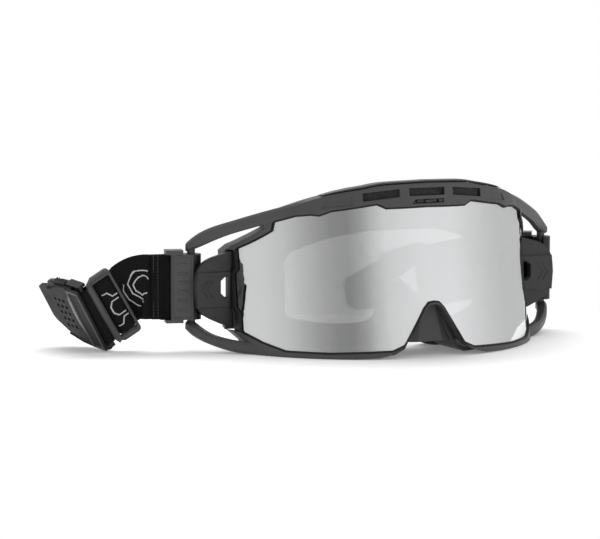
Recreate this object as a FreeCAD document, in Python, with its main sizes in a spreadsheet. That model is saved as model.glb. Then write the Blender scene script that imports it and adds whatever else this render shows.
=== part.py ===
import FreeCAD, Part
import Sketcher
import math
import os

from FreeCAD import Placement, Rotation, Vector

# Motorcycle goggles with a mirror lens, outrigger loops, swivelling strap clips and a quick-release strap.
# Millimetres. +X is the wearer's left-right line, -Y the front, +Z up. The origin is on the mid-plane,
# on the surface that the bottom rail stands on.

DIMENSIONS = [
    # Lens and frame: everything at the front follows one bowed wall that leans back as it rises.
    ("bow_radius", 93.3),
    ("bow_axis_y", 52.0),
    ("lean_slope", 0.15),
    ("lean_datum", 30.0),
    ("lens_thickness", 1.6),
    ("gasket_width", 0.9),
    ("gasket_proud", 0.6),
    ("rim_proud", 1.2),
    ("rim_depth", 8.2),
    ("ledge_width", 1.6),
    ("fit_gap", 0.1),
    ("window_recess", 2.2),
    ("panel_recess", 0.5),
    ("brow_set_back", 1.2),
    ("brow_lip", 3.0),
    ("brow_depth", 6.2),
    ("brow_rise", 1.4),
    # Face side: a carrier wall and three layers of foam on an arc that fits a face.
    ("face_radius", 89.8),
    ("face_axis_y", 97.8),
    ("carrier_wall", 2.0),
    ("carrier_flange", 1.5),
    ("foam_base", 2.4),
    ("foam_core", 9.0),
    ("foam_fleece", 2.2),
    # Outrigger post that the strap clip swivels on.
    ("post_x", 107.9),
    ("post_y", 37.0),
    ("post_radius", 2.2),
    ("post_low", 11.0),
    ("post_high", 58.0),
    ("arm_width", 5.6),
    # Side latch.
    ("latch_front", 25.5),
    ("latch_plate", 2.6),
    ("latch_band", 0.9),
    ("latch_axis_x", 102.0),
    ("latch_axis_y", 31.6),
    ("latch_pin_radius", 1.0),
    ("latch_pin_length", 27.0),
    ("latch_pin_low", 20.0),
    ("knuckle_radius", 2.3),
    ("knuckle_low", 25.2),
    ("knuckle_high", 41.8),
    ("running_gap", 0.05),
    # Strap clip.
    ("hub_radius", 5.4),
    ("clip_low", 17.2),
    ("clip_high", 52.8),
    ("cover_reach", 11.8),
    ("cover_thickness", 2.2),
    ("ear_above", 2.4),
    ("ear_below", 1.7),
    ("ear_start", 5.0),
    ("ear_reach", 14.4),
    ("strap_bar_radius", 1.5),
    ("strap_bar_reach", 12.3),
    ("snap_mouth", 3.4),
    ("clip_rest_left", 15.0),
    ("clip_rest_right", 150.0),
    # Webbing.
    ("strap_width", 35.4),
    ("strap_thickness", 1.7),
    # Sliding adjuster, in its own flat frame.
    ("slider_length", 15.0),
    ("slider_width", 43.0),
    ("slider_thickness", 2.4),
    ("slider_end_bar", 3.5),
    # Quick-release buckle, in its own flat frame.
    ("buckle_width", 42.5),
    ("buckle_length", 36.0),
    ("buckle_shell", 2.0),
    ("buckle_half_depth", 3.4),
    ("buckle_bar_radius", 1.7),
    ("hood_rise", 1.5),
    ("squeeze_pivot", 30.0),
    ("squeeze_pin_radius", 1.0),
    ("receiver_thickness", 3.6),
    # Lens lock.
    ("lock_length", 12.0),
]

BEHIND = 44.0
AHEAD = -70.0
LOW = -12.0
HIGH = 110.0
BOW_HALF = 91.6

doc = FreeCAD.newDocument("goggles")
sheet = doc.addObject("Spreadsheet::Sheet", "dims")
for line_number, (alias, value) in enumerate(DIMENSIONS, start=1):
    sheet.set("A%d" % line_number, alias)
    sheet.set("B%d" % line_number, str(value))
    sheet.setAlias("B%d" % line_number, alias)
doc.recompute()


def dim(alias):
    return float(sheet.get(alias))


parts = []


def keep(thing, label):
    """Give a finished sub-part its name and put it on the export list."""
    thing.Label = label
    parts.append(thing)
    return thing


def shaped(label, shape, placement=None):
    """A sub-part whose shape comes from Part functions."""
    feature = doc.addObject("Part::Feature", label)
    feature.Shape = shape.removeSplitter() if len(shape.Solids) == 1 else shape
    if placement is not None:
        feature.Placement = placement
    return keep(feature, label)


# ---------------------------------------------------------------- outlines seen from the front, right half

LENS_EDGE = [
    (0.0, 79.9), (23.6, 79.4), (28.4, 81.6), (50.6, 78.0), (56.4, 75.5), (60.0, 75.9), (66.4, 75.0),
    (74.6, 71.6), (75.4, 66.9), (87.3, 56.0), (87.3, 45.0), (88.4, 42.4), (88.4, 24.2), (87.3, 21.6),
    (87.3, 11.6), (81.3, 7.2), (73.4, 3.6), (55.0, 3.4), (24.6, 4.6), (18.2, 7.4), (6.2, 26.8), (3.4, 29.8), (0.0, 30.3),
]
RIM_TOP = [(0.0, 93.0), (23.0, 92.2), (35.0, 90.2), (47.0, 88.0), (56.0, 85.6), (64.0, 82.4), (72.0, 78.4),
           (78.2, 74.4)]
RIM_SIDE = [
    (78.9, 70.2), (78.0, 68.5), (84.2, 62.8), (89.4, 57.6), (91.2, 54.0), (91.2, 12.4), (87.4, 6.8),
    (86.0, 0.0), (44.0, 0.0), (32.0, 0.6), (25.5, 2.2), (20.6, 4.6), (16.6, 8.4), (4.9, 26.2), (2.6, 28.0), (0.0, 28.3),
]
FACE_EDGE = [
    (0.0, 85.6), (34.0, 84.0), (48.0, 75.0), (58.0, 62.5), (69.0, 57.0), (76.0, 49.0), (77.0, 24.0),
    (71.0, 12.0), (58.0, 3.6), (40.0, 1.2), (21.0, 1.0), (15.0, 4.0), (10.0, 13.0), (6.0, 26.0), (0.0, 31.0),
]
FACE_OPENING = [
    (0.0, 65.2), (20.4, 64.5), (36.0, 62.0), (51.8, 56.9), (59.2, 52.1), (61.4, 48.2), (61.4, 19.0),
    (57.2, 16.2), (46.0, 13.6), (35.3, 12.4), (23.7, 12.6), (15.5, 14.0), (11.0, 19.0), (8.4, 31.0), (0.0, 38.0),
]
BAR_TOP = [(0.0, 93.0), (23.0, 92.2), (35.0, 90.2), (47.0, 88.0), (54.0, 86.2)]
VENT_SIDE = [(15.9, 90.2), (35.5, 88.2), (35.5, 83.8), (15.9, 86.0)]
VENT_MIDDLE_HALF = 10.6
VENT_MIDDLE_LOW = 86.3
VENT_MIDDLE_HIGH = 90.5
END_PANEL = [(40.7, 86.7), (53.6, 84.0), (55.6, 80.0), (40.7, 81.6)]
LOCK_SLOT = [(-9.6, 82.2), (-7.0, 84.4), (9.8, 84.4), (9.8, 82.2)]
LATCH_CURVE = [
    (92.0, 53.4), (100.2, 51.2), (105.0, 48.8), (108.2, 45.0), (109.8, 40.0), (110.1, 34.0), (109.2, 27.4),
    (107.3, 22.6), (104.6, 19.6), (99.4, 16.8), (92.0, 13.6),
]
LATCH_INNER = [(88.4, 12.0), (88.4, 21.0), (89.5, 23.8), (89.5, 42.8), (88.4, 45.4), (88.4, 54.6)]
LATCH_BAND = [(89.5, 43.2), (109.0, 43.2), (109.8, 34.0), (109.0, 24.0), (89.5, 24.0)]
LATCH_SLOT = [(91.0, 40.4), (93.0, 40.4), (95.3, 38.4), (95.3, 31.6), (93.0, 29.4), (91.0, 29.4)]


def softened(points, pieces=5):
    """A polyline through the same points that turns in small steps."""
    result = []
    for i in range(len(points) - 1):
        before, start = points[max(i - 1, 0)], points[i]
        end, after = points[i + 1], points[min(i + 2, len(points) - 1)]
        for step in range(pieces):
            t = step / pieces
            weights = (
                -0.5 * t + t * t - 0.5 * t ** 3, 1.0 - 2.5 * t * t + 1.5 * t ** 3,
                0.5 * t + 2.0 * t * t - 1.5 * t ** 3, -0.5 * t * t + 0.5 * t ** 3,
            )
            corners = (before, start, end, after)
            result.append(tuple(sum(w * c[k] for w, c in zip(weights, corners)) for k in range(2)))
    return result + [points[-1]]


def closed_loop(half):
    """Both halves of an outline that is the same on each side of the mid-plane."""
    other = [(-x, z) for x, z in reversed(half) if x > 0.0]
    return half + other


def flat_wire(points):
    corners = [Vector(x, 0.0, z) for x, z in points]
    return Part.makePolygon(corners + corners[:1])


def eased(wire, radius):
    """Round a wire's corners: out and back in, then in and back out."""
    wire = wire.makeOffset2D(radius, 0).makeOffset2D(-radius, 0)
    return wire.makeOffset2D(-radius, 0).makeOffset2D(radius, 0)


def across(wire, front=AHEAD, back=BEHIND):
    """The solid that a front outline sweeps along Y."""
    face = Part.Face(wire)
    solid = face.extrude(Vector(0.0, back - front, 0.0))
    solid.translate(Vector(0.0, front, 0.0))
    return solid


def bow_arc(radius, shift):
    """The bow's curve in plan at the bottom level, moved straight back by shift."""
    foot = dim("bow_axis_y") + dim("lean_slope") * (LOW - dim("lean_datum")) + shift
    side = foot - math.sqrt(radius * radius - BOW_HALF * BOW_HALF)
    points = [Vector(-BOW_HALF, side, LOW), Vector(0.0, foot - radius, LOW), Vector(BOW_HALF, side, LOW)]
    return points, Part.Arc(*points).toShape()


def slab(front, back=None):
    """A bowed, leaning layer between two curves (radius, shift), or from one of them to far behind."""
    points, edge = bow_arc(*front)
    if back is None:
        far = [Vector(BOW_HALF, 120.0, LOW), Vector(-BOW_HALF, 120.0, LOW)]
        closing = [Part.makeLine(points[2], far[0]), Part.makeLine(far[0], far[1]),
                   Part.makeLine(far[1], points[0])]
    else:
        rear, rear_edge = bow_arc(*back)
        closing = [Part.makeLine(points[2], rear[2]), rear_edge, Part.makeLine(rear[0], points[0])]
    rise = HIGH - LOW
    face = Part.Face(Part.Wire([edge] + closing))
    return face.extrude(Vector(0.0, dim("lean_slope") * rise, rise))


def both_sides(shape):
    mirror = shape.mirror(Vector(0.0, 0.0, 0.0), Vector(1.0, 0.0, 0.0))
    return [shape, mirror]


def block(x_pair, y_pair, z_pair):
    size = [pair[1] - pair[0] for pair in (x_pair, y_pair, z_pair)]
    return Part.makeBox(size[0], size[1], size[2], Vector(x_pair[0], y_pair[0], z_pair[0]))


def post_shape(x, y, low, high, radius):
    return Part.makeCylinder(radius, high - low, Vector(x, y, low))


# ---------------------------------------------------------------- lens, gasket, frame

lens_outer = dim("bow_radius")
rim_outer = lens_outer + dim("rim_proud")
rim_depth = dim("rim_depth")
half_lens = dim("lens_thickness") / 2.0

lens_wire = eased(flat_wire(closed_loop(LENS_EDGE)), 1.2)
seat_wire = lens_wire.makeOffset2D(dim("gasket_width") + dim("fit_gap"), 0)
ledge_wire = lens_wire.makeOffset2D(-dim("ledge_width"), 0)
rim_wire = eased(flat_wire(closed_loop(softened(RIM_TOP) + RIM_SIDE)), 0.6)


def make_lens():
    plate = slab((lens_outer, 0.0), (lens_outer - half_lens, half_lens))
    return shaped("lens", plate.common(across(lens_wire)))


def make_gasket():
    inner = across(lens_wire.makeOffset2D(0.05, 0))
    outer = across(lens_wire.makeOffset2D(dim("gasket_width"), 0))
    band = slab((lens_outer + dim("gasket_proud"), 0.0), (lens_outer - half_lens, half_lens))
    return shaped("lens_gasket", band.common(outer.cut(inner)))


def arm(stations):
    """A bar through stations (x, y, low, high), square to its own line in plan."""
    half = dim("arm_width") / 2.0
    wires = []
    for index, (x, y, low, high) in enumerate(stations):
        before = stations[max(index - 1, 0)]
        after = stations[min(index + 1, len(stations) - 1)]
        run = Vector(after[0] - before[0], after[1] - before[1], 0.0).normalize()
        side = Vector(-run.y, run.x, 0.0) * half
        ease = (high - low) * 0.22
        corners = []
        for across_side, level in (
            (-1.0, low + ease), (-0.55, low), (0.55, low), (1.0, low + ease),
            (1.0, high - ease), (0.55, high), (-0.55, high), (-1.0, high - ease),
        ):
            corners.append(Vector(x, y, level) + side * across_side)
        wires.append(Part.makePolygon(corners + corners[:1]))
    return Part.makeLoft(wires, True, False)


UPPER_ARM = [
    (60.0, -7.0, 77.5, 84.0), (72.0, 1.2, 72.6, 79.6), (80.0, 9.0, 69.2, 76.4), (90.0, 19.0, 64.9, 72.0),
    (100.0, 29.4, 59.3, 67.2), (106.0, 35.2, 55.6, 62.8), (110.0, 38.3, 54.2, 58.6),
]
LOWER_ARM = [
    (72.0, -8.6, 0.0, 4.6), (84.0, 8.0, 0.0, 5.8), (92.0, 14.2, 0.9, 7.0), (99.0, 21.5, 3.2, 8.8),
    (104.6, 29.0, 6.0, 12.2), (107.6, 34.4, 8.6, 15.4), (108.6, 38.2, 10.6, 16.2),
]


def latch_bracket():
    """Two lugs and knuckles behind the latch, clear of the slot's line of sight."""
    x, y = dim("latch_axis_x"), dim("latch_axis_y")
    pieces = []
    for low, high in ((19.6, dim("knuckle_low") - 0.2), (dim("knuckle_high") + 0.2, 47.4)):
        lug = block((89.4, x), (29.4, 33.0), (low, high))
        knuckle = post_shape(x, y, low, high, dim("knuckle_radius"))
        pieces.append(lug.fuse(knuckle))
    return pieces


def make_frame():
    body = slab((rim_outer, 0.0), (rim_outer, rim_depth)).common(across(rim_wire))
    lens_space = slab((rim_outer, -9.0), (lens_outer - half_lens, half_lens + dim("fit_gap")))
    lens_space = lens_space.common(across(seat_wire))
    body = body.cut(lens_space)
    body = body.cut(across(ledge_wire))
    for points in (VENT_SIDE, [(-x, z) for x, z in VENT_SIDE]):
        body = body.cut(across(flat_wire(points), AHEAD, 0.0))
    middle = [
        (VENT_MIDDLE_HALF, VENT_MIDDLE_HIGH), (VENT_MIDDLE_HALF, VENT_MIDDLE_LOW),
        (-VENT_MIDDLE_HALF, VENT_MIDDLE_LOW), (-VENT_MIDDLE_HALF, VENT_MIDDLE_HIGH),
    ]
    body = body.cut(across(flat_wire(middle), AHEAD, 0.0))
    recess = slab((rim_outer, -1.0), (rim_outer, dim("panel_recess")))
    for points in (END_PANEL, [(-x, z) for x, z in END_PANEL]):
        body = body.cut(recess.common(across(flat_wire(points))))
    slot_wall = slab((rim_outer, -1.0), (rim_outer, 3.2))
    body = body.cut(slot_wall.common(across(flat_wire(LOCK_SLOT))))
    # The rim steps back behind each latch, onto a plate that closes the gap beside the lens.
    for plate in both_sides(block((85.5, 91.0), (29.45, 31.4), (11.4, 55.2))):
        body = body.fuse(plate.cut(lens_space))
    seat = block((88.0, 96.0), (AHEAD, 29.35), (11.4, 55.2)).cut(across(seat_wire))
    # It is open right through behind the latch's slot.
    seat = seat.fuse(block((88.7, 96.0), (20.0, BEHIND), (27.4, 42.0)))
    for cutter in both_sides(seat):
        body = body.cut(cutter)
    x, y = dim("post_x"), dim("post_y")
    limbs = [arm(UPPER_ARM), arm(LOWER_ARM)]
    limbs.append(post_shape(x, y, dim("post_low"), dim("post_high"), dim("post_radius")))
    clear = across(seat_wire)
    bore = post_shape(
        dim("latch_axis_x"), dim("latch_axis_y"), 0.0, 60.0,
        dim("latch_pin_radius") + dim("running_gap"),
    )
    for limb in limbs:
        for copy in both_sides(limb):
            body = body.fuse(copy.cut(clear))
    for lug in latch_bracket():
        for copy in both_sides(lug.cut(bore)):
            body = body.fuse(copy)
    stand = block((-150.0, 150.0), (AHEAD, 80.0), (0.0, HIGH))
    return shaped("front_frame", body.common(stand))


def make_vent_foam():
    pieces = []
    inset = dim("fit_gap")
    zone = slab((rim_outer, dim("window_recess")), (rim_outer, rim_depth - 0.2))
    shapes = [VENT_SIDE, [(-x, z) for x, z in VENT_SIDE]]
    half = VENT_MIDDLE_HALF
    shapes.append([(half, VENT_MIDDLE_HIGH), (half, VENT_MIDDLE_LOW), (-half, VENT_MIDDLE_LOW),
                   (-half, VENT_MIDDLE_HIGH)])
    for points in shapes:
        wire = flat_wire(points).makeOffset2D(-inset, 0)
        pieces.append(zone.common(across(wire, AHEAD, 0.0)))
    solids = [solid for piece in pieces for solid in piece.Solids]
    return shaped("vent_foam", Part.makeCompound(solids))


def strip(low_rise, high_rise):
    """A band that follows the top of the bar, between two heights above it, thinner at its ends."""
    bar = softened(BAR_TOP)
    upper = []
    for index, (x, z) in enumerate(bar):
        share = min(1.0, 0.2 + 0.1 * (len(bar) - 1 - index))
        upper.append((x, z + low_rise + (high_rise - low_rise) * share))
    lower = [(x, z + low_rise) for x, z in bar]
    right = upper + list(reversed(lower))
    left = [(-x, z) for x, z in lower[1:]] + [(-x, z) for x, z in reversed(upper[1:])]
    return across(flat_wire(right + left))


def make_brow_cover():
    """Cap along the top of the bar, with a groove under its front lip."""
    front, rise = dim("brow_set_back"), dim("brow_rise")
    split = front + dim("brow_lip")
    lip = slab((rim_outer, front), (rim_outer, split)).common(strip(0.5, rise))
    roof = slab((rim_outer, split), (rim_outer, front + dim("brow_depth"))).common(strip(0.05, rise))
    return shaped("brow_cover", lip.fuse(roof))


# ---------------------------------------------------------------- face side

def face_zone(near, far):
    """Between two arcs about the face's centre, behind the frame's rim."""
    centre = Vector(0.0, dim("face_axis_y"), LOW)
    rise = HIGH - LOW
    outer = Part.makeCylinder(far, rise, centre)
    inner = Part.makeCylinder(near, rise, centre)
    return outer.cut(inner)


face_wire = eased(flat_wire(closed_loop(FACE_EDGE)), 2.0)
opening_wire = eased(flat_wire(closed_loop(FACE_OPENING)), 3.0)
fleece_near = dim("face_radius")
core_near = fleece_near + dim("foam_fleece")
base_near = core_near + dim("foam_core")
carrier_near = base_near + dim("foam_base")


def make_carrier():
    inner_wire = face_wire.makeOffset2D(-dim("carrier_wall"), 0)
    tube = across(face_wire, AHEAD, 60.0).cut(across(inner_wire, AHEAD, 60.0))
    front = rim_depth + dim("fit_gap")
    body = tube.common(slab((rim_outer, front)))
    # A flange closes the space between this wall and the rim.
    flange = slab((rim_outer, front), (rim_outer, front + dim("carrier_flange")))
    flange = flange.common(across(lens_wire).cut(across(inner_wire, AHEAD, 60.0)))
    body = body.fuse(flange.common(block((-86.5, 86.5), (AHEAD, 60.0), (0.0, HIGH))))
    keep_out = Part.makeCylinder(carrier_near + 0.05, HIGH - LOW, Vector(0.0, dim("face_axis_y"), LOW))
    body = body.cut(keep_out)
    return shaped("face_carrier", body)


def make_foam(label, near, thickness, grow):
    outer_wire = face_wire.makeOffset2D(grow, 0)
    ring = across(outer_wire, AHEAD, 70.0).cut(across(opening_wire, AHEAD, 70.0))
    body = ring.common(face_zone(near + 0.05, near + thickness - 0.05))
    above_floor = block((-120.0, 120.0), (AHEAD, 70.0), (0.0, HIGH))
    return shaped(label, body.common(above_floor))


def make_nose_guard(neighbours):
    """A folded guard that closes the nose arch, trimmed to meet its neighbours face to face."""
    top = [(-6.5, -34.6), (-2.6, -35.6), (2.6, -35.6), (6.5, -34.6)]
    foot = [(-20.5, -32.0), (-7.5, -37.6), (7.5, -37.6), (20.5, -32.0)]
    wires = []
    for section, height in ((top, 31.5), (foot, 7.6)):
        back = [(x, y + 2.0) for x, y in reversed(section)]
        corners = [Vector(x, y, height) for x, y in section + back]
        wires.append(Part.makePolygon(corners + corners[:1]))
    guard = Part.makeLoft(wires, True, True)
    for neighbour in neighbours:
        guard = guard.cut(neighbour.Shape)
    return shaped("nose_guard", max(guard.Solids, key=lambda solid: solid.Volume))


# ---------------------------------------------------------------- PartDesign helpers

def plane_of(body, role):
    for feature in body.Origin.OriginFeatures:
        if feature.Role == role:
            return feature
    raise ValueError(role)


def sketch_on(body, role, name, points, offset=0.0):
    """A closed polygon sketch on one of the body's own origin planes."""
    sketch = body.newObject("Sketcher::SketchObject", name)
    sketch.AttachmentSupport = [(plane_of(body, role), "")]
    sketch.MapMode = "FlatFace"
    sketch.AttachmentOffset = Placement(Vector(0.0, 0.0, offset), Rotation())
    corners = [Vector(a, b, 0.0) for a, b in points]
    for start, end in zip(corners, corners[1:] + corners[:1]):
        sketch.addGeometry(Part.LineSegment(start, end), False)
    return sketch


def circle_on(body, role, name, centre, alias, offset=0.0):
    sketch = body.newObject("Sketcher::SketchObject", name)
    sketch.AttachmentSupport = [(plane_of(body, role), "")]
    sketch.MapMode = "FlatFace"
    sketch.AttachmentOffset = Placement(Vector(0.0, 0.0, offset), Rotation())
    normal = Vector(0.0, 0.0, 1.0)
    sketch.addGeometry(Part.Circle(Vector(centre[0], centre[1], 0.0), normal, 1.0), False)
    index = sketch.addConstraint(Sketcher.Constraint("Radius", 0, 1.0))
    sketch.setExpression("Constraints[%d]" % index, alias)
    return sketch


def pad(body, sketch, name, length):
    feature = body.newObject("PartDesign::Pad", name)
    feature.Profile = sketch
    feature.setExpression("Length", length)
    return feature


def pocket(body, sketch, name, length, midplane=True):
    feature = body.newObject("PartDesign::Pocket", name)
    feature.Profile = sketch
    feature.setExpression("Length", length)
    feature.Midplane = midplane
    return feature


def rectangle(x_pair, y_pair):
    return [(x_pair[0], y_pair[0]), (x_pair[1], y_pair[0]), (x_pair[1], y_pair[1]), (x_pair[0], y_pair[1])]


# ---------------------------------------------------------------- side latches

def make_latch(side, name):
    """A D-shaped plate with a raised band and a slot, on a knuckle behind it."""
    body = doc.addObject("PartDesign::Body", "latch_" + name)
    turn = [(side * x, z) for x, z in softened(LATCH_CURVE, 2) + LATCH_INNER]
    plate = sketch_on(body, "XZ_Plane", "plate_sketch", turn)
    pad(body, plate, "plate", "dims.latch_plate")
    band = sketch_on(body, "XZ_Plane", "band_sketch", [(side * x, z) for x, z in LATCH_BAND])
    pad(body, band, "band", "dims.latch_plate + dims.latch_band")
    back = dim("latch_front") + dim("latch_plate") + dim("latch_band")
    axis = (side * dim("latch_axis_x"), dim("latch_axis_y") - back)
    low = dim("knuckle_low")
    web = rectangle((axis[0] - 1.6, axis[0] + 1.6), (-0.6, axis[1]))
    web_sketch = sketch_on(body, "XY_Plane", "web_sketch", web, low)
    pad(body, web_sketch, "web", "dims.knuckle_high - dims.knuckle_low")
    knuckle = circle_on(body, "XY_Plane", "knuckle_sketch", axis, "dims.knuckle_radius", low)
    pad(body, knuckle, "knuckle", "dims.knuckle_high - dims.knuckle_low")
    doc.recompute()
    slot = sketch_on(body, "XZ_Plane", "slot_sketch", [(side * x, z) for x, z in LATCH_SLOT])
    pocket(body, slot, "slot", "dims.latch_plate * 6")
    bore = circle_on(body, "XY_Plane", "bore_sketch", axis, "dims.latch_pin_radius + dims.running_gap", low)
    pocket(body, bore, "bore", "(dims.knuckle_high - dims.knuckle_low) * 3")
    body.Placement = Placement(Vector(0.0, back, 0.0), Rotation())
    doc.recompute()
    return keep(body, "latch_" + name)


def make_latch_pin(side, name):
    pin = doc.addObject("Part::Cylinder", "latch_pin_" + name)
    pin.setExpression("Radius", "dims.latch_pin_radius")
    pin.setExpression("Height", "dims.latch_pin_length")
    pin.setExpression("Placement.Base.x", "%d * dims.latch_axis_x" % side)
    pin.setExpression("Placement.Base.y", "dims.latch_axis_y")
    pin.setExpression("Placement.Base.z", "dims.latch_pin_low")
    return keep(pin, "latch_pin_" + name)


# ---------------------------------------------------------------- strap clips, drawn with the post at the origin

def to_post(shape, angle, side):
    """Turn a clip piece back from straight outwards, put it on its post, and mirror it for the left."""
    placed = shape.copy()
    placed.rotate(Vector(0.0, 0.0, 0.0), Vector(0.0, 0.0, 1.0), angle)
    placed.translate(Vector(dim("post_x"), dim("post_y"), 0.0))
    if side < 0:
        placed = placed.mirror(Vector(0.0, 0.0, 0.0), Vector(1.0, 0.0, 0.0))
    return placed


COVER_FRONT = -5.6


def clip_body_shape():
    low, high = dim("clip_low"), dim("clip_high")
    radius = dim("hub_radius")
    hub = post_shape(0.0, 0.0, low, high, radius)
    back = COVER_FRONT + dim("cover_thickness") + 0.05
    tail = block((0.0, dim("cover_reach") - 3.2), (back, back + 2.6), (low, high))
    body = hub.fuse(tail)
    body = body.cut(block((-0.9, 30.0), (-20.0, back), (0.0, 100.0)))
    body = body.cut(post_shape(0.0, 0.0, 0.0, 100.0, dim("post_radius") + dim("running_gap")))
    half = dim("snap_mouth") / 2.0
    return body.cut(block((-half, half), (0.0, 20.0), (0.0, 100.0)))


def clip_cover_shape():
    """Front cover with the two ears and the bar that the webbing is sewn around."""
    low, high = dim("clip_low"), dim("clip_high")
    reach, thick = dim("cover_reach"), dim("cover_thickness")
    bar_x = dim("strap_bar_reach")
    body = block((-0.8, reach), (COVER_FRONT, COVER_FRONT + thick), (low, high))
    for bottom, top in ((high, high + dim("ear_above")), (low - dim("ear_below"), low)):
        plate = block((dim("ear_start"), dim("ear_reach")), (COVER_FRONT, 3.2), (bottom, top))
        body = body.fuse(plate)
    bar = post_shape(bar_x, 0.0, low - 0.5, high + 0.5, dim("strap_bar_radius"))
    return body.fuse(bar)


# ---------------------------------------------------------------- webbing

def ribbon(stations):
    """Flat webbing through stations (centre, width direction); its thickness is square to both."""
    half_width = dim("strap_width") / 2.0
    half_thick = dim("strap_thickness") / 2.0
    wires = []
    for index, (centre, up) in enumerate(stations):
        before = stations[max(index - 1, 0)][0]
        after = stations[min(index + 1, len(stations) - 1)][0]
        run = (after - before).normalize()
        width = (up - run * up.dot(run)).normalize()
        normal = run.cross(width)
        corners = []
        for a, b in ((-1, -1), (1, -1), (1, 1), (-1, 1)):
            corners.append(centre + width * (a * half_width) + normal * (b * half_thick))
        wires.append(Part.makePolygon(corners + corners[:1]))
    return Part.makeLoft(wires, True, True)


def sewn_end(angle, side):
    """The webbing's loop around the clip's bar and its doubled, stitched tail."""
    low = (dim("clip_low") + dim("clip_high") - dim("strap_width")) / 2.0
    high = low + dim("strap_width")
    bar_x = dim("strap_bar_reach")
    inner = dim("strap_bar_radius") + dim("fit_gap")
    outer = inner + dim("strap_thickness")
    loop = post_shape(bar_x, 0.0, low, high, outer)
    tail = block((bar_x, bar_x + 12.0), (-dim("strap_thickness"), dim("strap_thickness")), (low, high))
    loop = loop.fuse(tail).cut(post_shape(bar_x, 0.0, 0.0, 100.0, inner))
    return to_post(loop, angle, side)


def loop_on_bar(centre, axis, inner):
    """Webbing wrapped round a bar: a ring as long as the webbing is wide."""
    half = dim("strap_width") / 2.0
    start = centre - axis * half
    outer = Part.makeCylinder(inner + dim("strap_thickness"), 2.0 * half, start, axis)
    return outer.cut(Part.makeCylinder(inner, 2.0 * half, start, axis))


def end_of_tail(angle, side):
    """Where the doubled tail stops, and which way the webbing leaves it."""
    reach = dim("strap_bar_reach") + 11.6
    turn = math.radians(angle)
    height = (dim("clip_low") + dim("clip_high")) / 2.0
    x = dim("post_x") + reach * math.cos(turn)
    y = dim("post_y") + reach * math.sin(turn)
    run = Vector(side * math.cos(turn), math.sin(turn), 0.0)
    return Vector(side * x, y, height), run


UP = Vector(0.0, 0.0, 1.0)
SLIDER_CENTRE = Vector(-149.5, 47.6, 25.4)
SLIDER_RUN = Vector(-0.84, 0.12, -0.53)
SLIDER_UP = Vector(-0.55, -0.17, 0.80)
SLIDER_PATH = [
    (-9.0, 2.6), (-5.5, 2.6), (-2.4, 0.0), (0.0, -0.5), (1.6, -0.2), (3.9, 2.5), (8.4, 2.8), (11.6, 3.1),
]
BUCKLE_CENTRE = Vector(-159.8, 49.4, 19.4)
BUCKLE_RUN = Vector(-0.204, 0.975, 0.090)
BUCKLE_UP = Vector(-0.514, -0.152, 0.846)
RECEIVER_RUN = Vector(-0.96, 0.24, -0.14)
RECEIVER_BAR = 3.2
RECEIVER_BAR_RADIUS = 1.4
STRAP_RIGHT = [(79.6, 56.4, 34.4), (72.0, 62.6, 33.0), (63.0, 67.2, 31.2), (55.0, 69.8, 29.8)]


def square_up(run, up):
    """Three square directions: along the webbing, across it, and inwards through it."""
    along = Vector(run).normalize()
    width = (Vector(up) - along * Vector(up).dot(along)).normalize()
    return along, width, along.cross(width)


def local_placement(centre, run, up):
    along, width, inward = square_up(run, up)
    return Placement(centre, Rotation(along, width, inward, "XYZ"))


def make_strap_left():
    angle = dim("clip_rest_left")
    start, run = end_of_tail(angle, -1)
    along, width, inward = square_up(SLIDER_RUN, SLIDER_UP)
    stations = [(start, UP), (start + run * 4.0, UP + width * 0.35)]
    for reach, depth in SLIDER_PATH:
        stations.append((SLIDER_CENTRE + along * reach + inward * depth, width))
    axis = square_up(BUCKLE_RUN, BUCKLE_UP)[1]
    inner = dim("buckle_bar_radius") + dim("fit_gap")
    webbing = sewn_end(angle, -1).fuse(ribbon(stations))
    bore = Part.makeCylinder(inner, 60.0, BUCKLE_CENTRE - axis * 30.0, axis)
    return shaped("strap_left", webbing.cut(bore).fuse(loop_on_bar(BUCKLE_CENTRE, axis, inner)))


def make_strap_right():
    angle = dim("clip_rest_right")
    start, run = end_of_tail(angle, 1)
    stations = [(start, UP), (start + run * 3.0, UP)]
    for x, y, z in STRAP_RIGHT:
        stations.append((Vector(x, y, z), UP))
    inner = RECEIVER_BAR_RADIUS + dim("fit_gap")
    half_width, half_thick = dim("strap_width") / 2.0, dim("strap_thickness") / 2.0
    loop = loop_on_bar(Vector(RECEIVER_BAR, 0.0, 0.0), Vector(0.0, 1.0, 0.0), inner)
    lead = block((-1.0, RECEIVER_BAR - inner), (-half_width, half_width), (-half_thick, half_thick))
    loop = loop.fuse(lead)
    loop.Placement = local_placement(Vector(*STRAP_RIGHT[-1]), RECEIVER_RUN, UP)
    return shaped("strap_right", sewn_end(angle, 1).fuse(ribbon(stations)).fuse(loop))


# ---------------------------------------------------------------- sliding adjuster

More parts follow.
